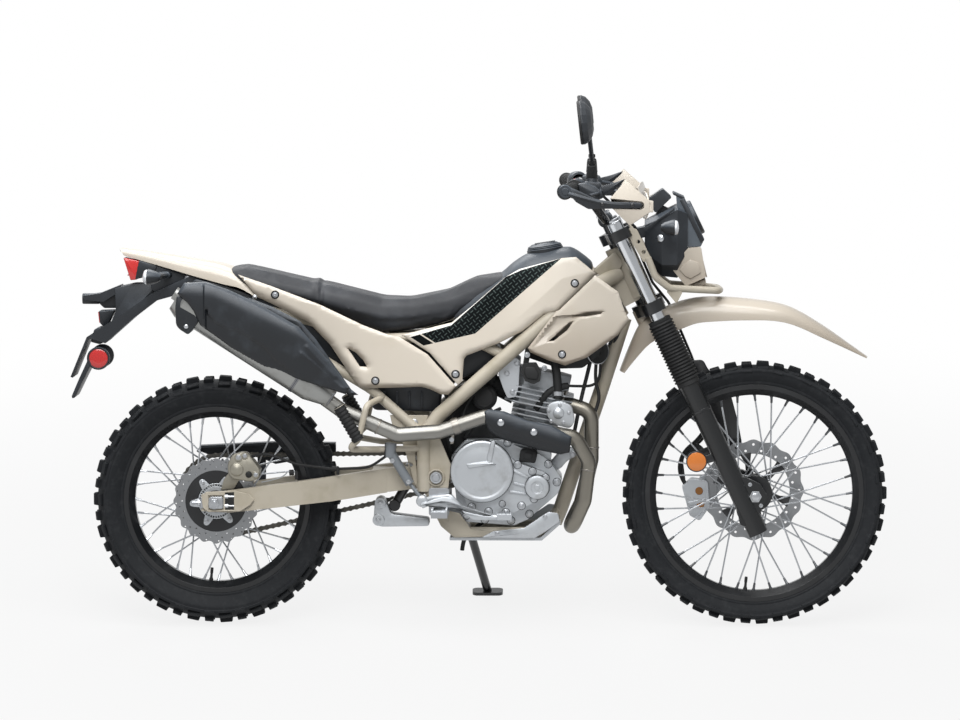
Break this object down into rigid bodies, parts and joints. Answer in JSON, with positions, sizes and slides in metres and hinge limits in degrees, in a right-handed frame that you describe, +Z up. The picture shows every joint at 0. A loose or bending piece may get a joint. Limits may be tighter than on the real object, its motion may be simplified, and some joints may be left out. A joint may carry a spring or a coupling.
{
  "type": "dual sport motorcycle",
  "caption": "Trail and road motorcycle on its side stand, with wire wheels, knobbly tyres, long fork, finned engine, high exhaust and steering, wheels and stand that turn.",
  "frame": {"origin": "middle of the box around the whole machine at the ground, as it leans on its side stand", "axes": "+X forward, +Y to the rider's left, +Z up"},
  "size_m": [2.0898, 0.8789, 1.3962],
  "materials": {
    "tyre": "matte black tyre rubber",
    "black_rim": "black anodised aluminium",
    "hub_black": "black cast aluminium",
    "spoke_steel": "zinc-plated steel",
    "disc_steel": "ground stainless steel",
    "frame_paint": "sand-coloured gloss paint",
    "black_paint": "satin black paint",
    "engine_alu": "silver-painted cast aluminium",
    "bright_alu": "bright aluminium",
    "steel": "plated steel",
    "chain_steel": "oiled chain steel",
    "pipe_steel": "heat-tinted stainless steel",
    "panel_sand": "sand-coloured moulded plastic",
    "black_plastic": "textured black plastic",
    "seat_cover": "grained vinyl cover",
    "black_rubber": "matte rubber",
    "red_lens": "red acrylic lens",
    "clear_lens": "clear acrylic lens"
  },
  "bodies": {
    "chassis": {"chain": "chain_steel", "frame_spine": "frame_paint", "frame_cradle": "frame_paint", "subframe": "frame_paint", "skid_plate": "bright_alu", "stand_bracket": "black_paint", "swingarm": "frame_paint", "rear_axle": "steel", "rear_caliper": "bright_alu", "rear_shock": "black_paint", "chain_guard": "black_plastic", "drive_sprocket": "steel", "engine_cases": "engine_alu", "engine_cylinder": "engine_alu", "intake": "black_plastic", "exhaust_pipe": "pipe_steel", "muffler": "bright_alu", "exhaust_covers": "black_paint", "seat": "seat_cover", "tank": "black_plastic", "tank_panels": "panel_sand", "shrouds": "panel_sand", "side_panels": "panel_sand", "tail": "panel_sand", "tail_lamp": "red_lens", "rear_signals": "clear_lens", "plate_carrier": "black_plastic", "foot_pegs": "steel", "pillion_pegs": "frame_paint", "foot_levers": "bright_alu", "rear_master": "black_paint"},
    "rear_wheel": {"rear_tyre": "tyre", "rear_rim": "black_rim", "rear_hub": "hub_black", "rear_spokes": "spoke_steel", "rear_disc": "disc_steel", "rear_sprocket": "steel"},
    "front_wheel": {"front_tyre": "tyre", "front_rim": "black_rim", "front_hub": "hub_black", "front_spokes": "spoke_steel", "front_disc": "disc_steel"},
    "steering": {"triple_clamps": "black_paint", "fork_legs": "black_paint", "gaiters": "black_rubber", "front_axle": "steel", "handlebar": "black_paint", "hand_controls": "black_rubber", "hand_guards": "panel_sand", "mirrors": "black_plastic", "lamp_cowl": "black_plastic", "lamp_mask": "panel_sand", "lamp_lens": "clear_lens", "instruments": "black_plastic", "lamp_guard": "frame_paint", "front_signals": "clear_lens", "front_fender": "panel_sand", "front_brake": "bright_alu", "front_hose": "black_rubber"},
    "side_stand": {"side_stand": "frame_paint"}
  },
  "joints": [
    {"name": "steering_head", "type": "hinge", "parent": "chassis", "child": "steering", "pos_m": [0.38032, -0.0567, 0.89519], "axis": [-0.4226, 0.1574, 0.8925], "range_deg": [-42, 42]},
    {"name": "front_wheel_axle", "type": "hinge", "parent": "steering", "child": "front_wheel", "pos_m": [0.70707, -0.15536, 0.33561], "axis": [0, 0.9848, -0.1736], "continuous": true},
    {"name": "rear_wheel_axle", "type": "hinge", "parent": "chassis", "child": "rear_wheel", "pos_m": [-0.67293, -0.15881, 0.31605], "axis": [0, 0.9848, -0.1736], "continuous": true},
    {"name": "side_stand_pivot", "type": "hinge", "parent": "chassis", "child": "side_stand", "pos_m": [-0.03293, -0.05527, 0.22374], "axis": [0.1252, 0.8907, 0.437], "range_deg": [0, 108.3]}
  ]
}
